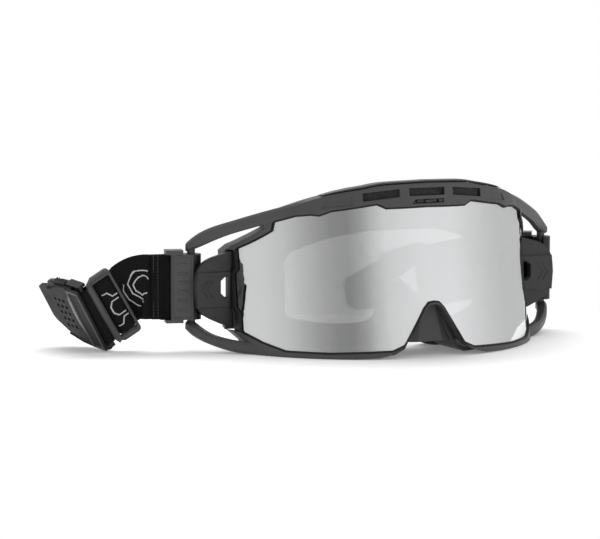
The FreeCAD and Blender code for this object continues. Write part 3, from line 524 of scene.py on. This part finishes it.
def sewn_start(side, angle):
    """The webbing's tail in front, its turn round the clip's bar, and the layer that leaves behind it."""
    shape = [(21.8, -0.55), (18.6, -0.9), (15.4, -1.5), (13.2, -2.4), (11.2, -2.2), (9.9, -0.9), (9.8, 0.7),
             (10.9, 2.0), (12.7, 2.3), (15.0, 1.5), (17.6, 0.95), (21.0, 0.8), (24.0, 0.5)]
    return [(at_clip(side, angle, reach, depth), UP) for reach, depth in shape]


def run_through(place, stations, width):
    """Stations on a part as (reach along it, depth into it)."""
    return [(place(reach, 0.0, -depth), width) for reach, depth in stations]


def turn_round(place, bar, radius, turns, width):
    """The webbing's turn round a bar, which is given as (reach, height)."""
    stations = []
    for turn in turns:
        angle = math.radians(turn)
        spot = place(bar[0] + radius * math.cos(angle), 0.0, bar[1] - radius * math.sin(angle))
        stations.append((spot, width))
    return stations


def left_strap():
    """From the clip, woven through the adjuster, round the buckle's bar and back into the adjuster."""
    path = sewn_start(-1, LEFT_ANGLE)
    turn = math.radians(LEFT_ANGLE)
    outwards = Vector((-math.cos(turn), math.sin(turn), 0.0))
    tail_end = at_clip(-1, LEFT_ANGLE, BAR_REACH + 11.6, 0.0)
    path.append((tail_end + outwards * 0.004, UP + SLIDER_WIDTH * 0.35))
    woven = ((-9.6, 2.7), (-6.9, 2.5), (-5.0, 0.6), (-3.4, -0.4), (-1.0, -0.5), (1.4, -0.4), (3.0, 0.6),
             (4.6, 2.4), (7.0, 2.8), (10.2, 3.1), (12.05, 3.08))
    path += run_through(on_slider, woven, SLIDER_WIDTH)
    path += turn_round(on_slider, (12.05, -0.43), 2.65, (50.0, 10.0, -30.0, -70.0, -105.0), BUCKLE_WIDTH)
    path += run_through(on_slider, ((8.9, -1.1),), SLIDER_WIDTH)
    return frames_along(smooth_path(path, STRAP_STEP))


def right_strap():
    """From the clip to the receiver, round its bar and back along itself."""
    path = sewn_start(1, RIGHT_ANGLE)
    path += [(mm(x, y, z), UP) for x, y, z in ((79.6, 56.4, 34.4), (72.0, 62.6, 33.0), (63.0, 67.2, 31.2))]
    path += run_through(on_receiver, ((-2.5, 0.2), (-0.5, 1.2), (1.6, 2.2)), RECEIVER_WIDTH)
    path += turn_round(on_receiver, (3.2, 0.0), 2.35, (60.0, 20.0, -20.0, -60.0), RECEIVER_WIDTH)
    back = ((1.8, -2.2), (-1.5, -1.8), (-6.0, -1.6), (-11.0, -1.2))
    path += run_through(on_receiver, back, RECEIVER_WIDTH)
    return frames_along(smooth_path(path, STRAP_STEP))


def folded_band(side, angle, name, body):
    """The doubled band beside the clip, with a rib along each thread row."""
    bm = bmesh.new()
    place = on_clip(side, angle, -1.6)
    low, high = CLIP_MIDDLE - 17.9, CLIP_MIDDLE + 17.9
    pad(bm, rounded_box(9.6, 17.6, low, high, 0.7), place, -0.4, 1.3, 0.45)
    for row in range(7):
        u = 10.6 + 1.05 * row
        bead(bm, [(u, low + 0.4), (u, CLIP_MIDDLE), (u, high - 0.4)], place, 0.36, 0.32, base=1.25)
    uv = bm.loops.layers.uv.new("UVMap")
    for face in bm.faces:
        for corner in face.loops:
            spot = corner.vert.co
            corner[uv].uv = (spot.x, spot.z)
    finish_mesh(name, bm, webbing, body)


def stitches(side, angle, name, body):
    """Rows of thread across the sewn tail."""
    bm = bmesh.new()
    for u, face in ((18.4, -1.85), (20.9, -1.45)):
        place = on_clip(side, angle, face)
        for step in range(20):
            v = CLIP_MIDDLE - 16.4 + 1.72 * step
            bead(bm, [(u, v), (u + 0.05, v + 0.6), (u, v + 1.2)], place, 0.2, 0.2)
    finish_mesh(name, bm, thread, body)


def printed_lines(name, rows, spot, lines):
    """Printed lines near a spot on the left webbing: each is a path of (along, across) in millimetres."""
    bm = bmesh.new()
    after_turn = [row for row in rows if row[3] > 0.03]
    start = min(after_turn, key=lambda row: (row[0] - spot).length)[3]
    first = min(range(len(rows)), key=lambda i: abs(rows[i][3] - start))

    def on_webbing(u, v, w):
        goal = start + u * 0.001
        i = first
        while i < len(rows) - 2 and rows[i + 1][3] < goal:
            i += 1
        t = (goal - rows[i][3]) / (rows[i + 1][3] - rows[i][3])
        centre = rows[i][0].lerp(rows[i + 1][0], t)
        across, through = rows[i][1], rows[i][2]
        return centre + across * v * 0.001 - through * (STRAP_THICK / 2.0 + w * 0.001)

    for path in lines:
        dense = []
        for a, b in zip(path, path[1:]):
            steps = max(int(math.dist(a, b) / 0.7), 1)
            for k in range(steps):
                dense.append((a[0] + (b[0] - a[0]) * k / steps, a[1] + (b[1] - a[1]) * k / steps))
        bead(bm, dense + [path[-1]], on_webbing, 0.4, 0.09)
    finish_mesh(name, bm, printed, "strap_side_left")


left_rows = left_strap()
finish_mesh("webbing_left", ribbon(left_rows), webbing, "strap_side_left", ["strap_left"])
finish_mesh("webbing_right", ribbon(right_strap()), webbing, "strap_side_right", ["strap_right"])
for side, angle, word in SIDES:
    folded_band(side, angle, "folded_band_" + word, "strap_side_" + word)
    stitches(side, angle, "stitches_" + word, "strap_side_" + word)
printed_lines("strap_lines_outer", left_rows, at_clip(-1, LEFT_ANGLE, 24.0, 0.5), [
    [(0.6, 8.6), (3.6, 9.6), (8.4, 4.6), (8.6, -1.4), (4.6, -6.6), (0.6, -8.4)],
    [(-1.0, 4.2), (2.2, 6.4), (6.2, 2.8), (6.2, -0.8), (3.4, -4.4), (-1.0, -3.0)],
    [(10.2, 6.0), (12.4, 2.6), (12.4, -3.4), (9.8, -8.6), (4.8, -12.0)],
])
printed_lines("strap_lines_window", left_rows, on_slider(-1.0, 0.0, 0.5), [
    [(-4.2, 5.6), (-1.2, 5.6), (1.0, 9.2), (3.6, 9.2)],
    [(-4.2, -8.6), (-1.2, -8.6), (1.0, -12.2), (3.6, -12.2)],
    [(-3.8, 3.0), (0.8, 3.0), (2.6, 0.2), (2.6, -3.6), (0.8, -6.2), (-3.8, -6.2)],
])

# ------------------------------------------------------------------ trim on the clips, latches and buckle


def clip_trim(side, angle, name, body):
    """Raised border and grip ribs on the clip's cover."""
    bm = bmesh.new()
    place = on_clip(side, angle)
    bead(bm, rounded_box(-0.1, 11.1, 18.0, 52.0, 1.0), place, 0.55, 0.45, closed=True)
    for rib in range(6):
        v = 22.6 + 5.0 * rib
        outline = [(2.6, v), (3.4, v - 0.8), (7.6, v - 0.8), (8.4, v), (7.6, v + 0.8), (3.4, v + 0.8)]
        pad(bm, outline, place, -0.3, 0.4, 0.3)
    finish_mesh(name, bm, clip_plastic, body, smooth=False)


def latch_trim(side, name, body):
    """Two chevrons on the raised band, and a lip round the slot."""
    bm = bmesh.new()
    place = on_latch(side, 25.5)
    for u in (100.2, 103.4):
        bead(bm, [(u, 38.4), (u + 3.2, 34.0), (u, 29.6)], place, 0.42, 0.3)
    lip = [(90.7, 40.9), (93.2, 40.9), (95.8, 38.7), (95.8, 31.1), (93.2, 28.9), (90.7, 28.9)]
    bead(bm, lip, place, 0.35, 0.3)
    finish_mesh(name, bm, hardware_plastic, body)


def buckle_trim():
    """Edge beads, a raised mouth rim in the lighter clip plastic as a painted highlight, and a glossy scoop
    on the buckle's outer shell.
    """
    bm = bmesh.new()
    edge = [(9.0, 19.6), (19.0, 18.8), (30.0, 15.6)]
    bead(bm, edge, on_buckle, 0.6, 0.6, base=3.3)
    bead(bm, [(u, -v) for u, v in edge], on_buckle, 0.6, 0.6, base=3.3)
    finish_mesh("buckle_edge", bm, buckle_plastic, "strap_side_left")
    bm = bmesh.new()
    rim = [(-4.2, -18.2), (6.6, -18.2), (7.5, 0.0), (6.6, 20.2), (-4.2, 20.2)]
    # The mouth rim bead uses the lighter clip plastic: a painted highlight along the buckle's mouth, not a
    # real change of colour.
    bead(bm, inset(rim, 0.6), on_buckle, 0.8, 0.7, closed=True, base=4.75)
    finish_mesh("buckle_rim_painted_highlight", bm, clip_plastic, "strap_side_left")
    bm = bmesh.new()
    scoop = [(9.0, 15.0), (10.0, 16.0), (12.6, 12.0), (13.8, 4.0), (13.4, -4.0), (11.6, -11.0),
             (9.8, -13.6), (9.0, -12.0)]
    pad(bm, scoop, on_buckle, 3.0, 3.6, 0.25)
    finish_mesh("buckle_scoop", bm, gloss_black, "strap_side_left")


def slider_trim():
    """The adjuster's raised outer rail and a thin lip round its window."""
    bm = bmesh.new()
    rail = [(5.2, -19.6), (7.0, -20.6), (8.6, -17.0), (8.9, 0.0), (8.6, 17.0), (7.0, 20.6), (5.2, 19.6)]
    pad(bm, rail, on_slider, 0.6, 2.9, 0.9)
    bead(bm, rounded_box(-6.6, 5.4, -18.9, 18.9, 1.6), on_slider, 0.7, 0.7, closed=True, base=1.1)
    finish_mesh("slider_rail", bm, clip_plastic, "strap_side_left")


def lock_track():
    """Small lugs beside the lens lock's tab, and the dark floor of its slot."""
    bm = bmesh.new()
    for u0, u1, v0, v1 in ((-9.2, -6.6, 82.5, 83.2), (6.8, 9.4, 82.5, 84.1), (-4.4, -3.2, 84.0, 84.35)):
        pad(bm, [(u0, v0), (u1, v0), (u1, v1), (u0, v1)], on_rim(0.9), -0.4, 0.5, 0.12)
    finish_mesh("lock_track", bm, lock_plastic, "goggle", smooth=False)
    bm = bmesh.new()
    pad(bm, [(-9.2, 82.5), (9.4, 82.5), (9.4, 84.2), (-7.0, 84.2)], on_rim(), -3.4, -3.05, 0.05)
    finish_mesh("lock_recess", bm, black_plastic, "goggle", smooth=False)


for side, angle, word in SIDES:
    clip_trim(side, angle, "clip_trim_" + word, "strap_side_" + word)
for side, angle, word in SIDES:
    latch_trim(side, "latch_trim_" + word, "side_latch_" + word)
buckle_trim()
slider_trim()
lock_track()

# ------------------------------------------------------------------ face pad

FACE_ARC_Y = 97.8
BINDING_ARC, OPENING_ARC, STITCH_ARC, LIP_ARC = 91.6, 91.4, 89.45, 104.0
SIMULATED_FRAMES = 20
FACE_EDGE = [
    (0.0, 85.6), (34.0, 84.0), (48.0, 75.0), (58.0, 62.5), (69.0, 57.0), (76.0, 49.0), (77.0, 24.0),
    (71.0, 12.0), (58.0, 3.6), (40.0, 1.6), (21.0, 1.6), (15.0, 4.0), (10.0, 13.0), (6.0, 26.0),
    (0.0, 31.0),
]
FACE_OPENING = [
    (0.0, 65.2), (20.4, 64.5), (36.0, 62.0), (51.8, 56.9), (59.2, 52.1), (61.4, 48.2), (61.4, 19.0),
    (57.2, 16.2), (46.0, 13.6), (35.3, 12.4), (23.7, 12.6), (15.5, 14.0), (11.0, 19.0), (8.4, 31.0),
    (0.0, 38.0),
]


def on_face_arc(half, radius, step):
    """Even points along an outline of the face pad, on an arc about the face's centre."""
    outline = half + [(-x, z) for x, z in reversed(half) if x > 0.0]
    outline.append(outline[0])
    corners = [(mm(x, FACE_ARC_Y - math.sqrt(radius ** 2 - x * x), z), UP) for x, z in outline]
    return [row[0] for row in smooth_path(corners, step)][:-1]


def face_seams():
    """The binding between the fleece and the foam, and a row of stitches inside it."""
    bm = bmesh.new()
    tube(bm, on_face_arc(FACE_EDGE, BINDING_ARC, 0.0016), 0.0011)
    tube(bm, on_face_arc(FACE_OPENING, OPENING_ARC, 0.0016), 0.0009)
    finish_mesh("face_binding", bm, binding, "goggle")
    bm = bmesh.new()
    inner = [(x * 0.955, 43.0 + (z - 43.0) * 0.93) for x, z in FACE_EDGE[:-3]]
    inner += [(11.0, 17.0), (7.6, 30.0), (0.0, 34.5)]
    line = on_face_arc(inner, STITCH_ARC, 0.0006)
    for start in range(0, len(line) - 4, 6):
        tube(bm, line[start:start + 4], 0.00028, closed=False, sides=5)
    finish_mesh("face_stitches", bm, thread, "goggle")


def nose_lip():
    """The black foam lip under the right of the nose arch, a soft roll in front of the face foam."""
    stations, sides = 24, 14
    bm = bmesh.new()
    rings = []
    for step in range(stations + 1):
        t = step / stations
        x = 8.0 + 24.0 * t
        y = FACE_ARC_Y - math.sqrt(LIP_ARC ** 2 - x * x) - 1.0
        z = 5.0 - 1.4 * t
        swell = math.sin(math.pi * min(max(t, 0.02), 0.98)) ** 0.45
        ring = []
        for k in range(sides):
            angle = 2.0 * math.pi * k / sides
            deep, high = 4.4 * swell * math.cos(angle), 3.6 * swell * math.sin(angle)
            ring.append(bm.verts.new(mm(x, y + deep, z + high)))
        rings.append(ring)
    skin(bm, rings)
    cap_ends(bm, rings[0], rings[-1])
    finish_mesh("nose_lip", bm, foam_skin, "goggle")


def apply_modifiers(piece):
    """Turn a piece's modifiers into its own mesh."""
    graph = bpy.context.evaluated_depsgraph_get()
    solid = bpy.data.meshes.new_from_object(piece.evaluated_get(graph))
    piece.modifiers.clear()
    old = piece.data
    piece.data = solid
    bpy.data.meshes.remove(old)


def inflate(piece, pressure, cap):
    """Swell a piece by cloth simulation, and let no point move further than cap."""
    rest = [vertex.co.copy() for vertex in piece.data.vertices]
    cloth = piece.modifiers.new("cloth", "CLOTH")
    cloth.settings.quality = 4
    cloth.settings.mass = 0.2
    cloth.settings.tension_stiffness = 12.0
    cloth.settings.compression_stiffness = 12.0
    cloth.settings.bending_stiffness = 1.5
    cloth.settings.use_pressure = True
    cloth.settings.uniform_pressure_force = pressure
    cloth.settings.effector_weights.gravity = 0.0
    cloth.collision_settings.use_collision = False
    for number in range(1, SIMULATED_FRAMES + 1):
        scene.frame_set(number)
    apply_modifiers(piece)
    scene.frame_set(1)
    for vertex, start in zip(piece.data.vertices, rest):
        move = vertex.co - start
        if move.length > cap:
            move *= cap / move.length
        vertex.co = start + move


def swollen(name, sources, material, voxel, pressure, cap):
    """Foam or fleece: the plain solids remeshed, swollen by a cloth simulation and smoothed."""
    bm = bmesh.new()
    for source in sources:
        bm.from_mesh(nodes[source].data)
    bmesh.ops.remove_doubles(bm, verts=bm.verts, dist=2e-6)
    mesh = bpy.data.meshes.new(name)
    bm.to_mesh(mesh)
    bm.free()
    mesh.transform(nodes[sources[0]].matrix_world)
    piece = bpy.data.objects.new(name, mesh)
    scene.collection.objects.link(piece)
    bpy.context.view_layer.objects.active = piece
    remesh = piece.modifiers.new("remesh", "REMESH")
    remesh.mode = "VOXEL"
    remesh.voxel_size = voxel
    apply_modifiers(piece)
    inflate(piece, pressure, cap)
    smooth = piece.modifiers.new("smooth", "SMOOTH")
    smooth.iterations = 3
    finer = piece.modifiers.new("finer", "SUBSURF")
    finer.levels = 1
    finer.render_levels = 1
    apply_modifiers(piece)
    piece.data.materials.clear()
    piece.data.materials.append(material)
    for face in piece.data.polygons:
        face.use_smooth = True
    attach(piece, "goggle")
    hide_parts(*sources)


face_seams()
nose_lip()
swollen("face_foam", ["face_foam_base", "face_foam_core"], foam_skin, 0.0022, 3.0, 0.0012)
swollen("face_lining", ["face_fleece"], fleece_skin, 0.0011, 3.0, 0.0006)

# ------------------------------------------------------------------ floor and light


def make_floor():
    """A white table top, square to the camera, that ends a little way behind the goggles."""
    bm = bmesh.new()
    right = Vector((math.cos(AZIMUTH), math.sin(AZIMUTH), 0.0))
    away = Vector((-right.y, right.x, 0.0))
    corners = [(-0.27, -0.80), (0.27, -0.80), (0.27, 0.17), (-0.27, 0.17)]
    bm.faces.new([bm.verts.new(right * u + away * v) for u, v in corners])
    mesh = bpy.data.meshes.new("floor")
    bm.to_mesh(mesh)
    bm.free()
    floor = bpy.data.objects.new("floor", mesh)
    floor.location = (-0.06, 0.0, -0.0002)
    scene.collection.objects.link(floor)
    material, n = new_material("floor")
    diffuse = n.add("ShaderNodeBsdfDiffuse", {"Color": grey(0.85, 1.0)})
    glow = n.add("ShaderNodeEmission", {"Color": grey(1.0, 1.0), "Strength": 0.17})
    n.surface("ShaderNodeAddShader", {0: diffuse.outputs[0], 1: glow.outputs[0]})
    mesh.materials.append(material)


def make_world():
    """A white tent that is darker at its opening, in front and to the left. Angles are in degrees
    from the front, and the values are the tent's brightness there."""
    world = bpy.data.worlds.new("tent")
    scene.world = world
    world.use_nodes = True
    n = Nodes(world.node_tree)
    split = n.add("ShaderNodeSeparateXYZ", {"Vector": n.coords("Generated")})
    angle = n.math("ARCTAN2", split.outputs[0], n.math("MULTIPLY", split.outputs[1], -1.0))
    ramp = n.add("ShaderNodeValToRGB", {"Fac": n.fade(angle, -math.pi, math.pi, 0.0, 1.0)})
    stops = [(-180, 1.0), (-120, 0.84), (-92, 0.80), (-76, 0.70), (-64, 0.55), (-52, 0.42), (-40, 0.32),
             (-30, 0.30), (-21, 0.42), (-14, 0.60), (-4, 0.80), (8, 0.88), (24, 0.95), (45, 0.95),
             (58, 0.86), (75, 0.75), (92, 0.68), (112, 0.68), (128, 0.72), (142, 1.0), (180, 1.0)]
    elements = ramp.color_ramp.elements
    while len(elements) < len(stops):
        elements.new(0.5)
    for element, (degrees, value) in zip(elements, stops):
        element.position = (degrees + 180.0) / 360.0
        element.color = grey(value, 1.0)
    background = n.add("ShaderNodeBackground", {"Color": ramp.outputs[0], "Strength": 1.0})
    n.add("ShaderNodeOutputWorld", {"Surface": background.outputs[0]})


def area_light(name, place, aim, size, power):
    """A soft box that the lens doesn't reflect."""
    data = bpy.data.lights.new(name, "AREA")
    data.shape = "RECTANGLE"
    data.size, data.size_y = size
    data.energy = power
    light = bpy.data.objects.new(name, data)
    light.location = place
    light.rotation_euler = (Vector(aim) - Vector(place)).to_track_quat("-Z", "Y").to_euler()
    light.visible_glossy = False
    scene.collection.objects.link(light)


make_floor()
make_world()
area_light("top_box", (0.0, 0.42, 0.95), (-0.03, 0.0, 0.03), (0.9, 0.5), 6.5)
scene.view_settings.view_transform = "Standard"
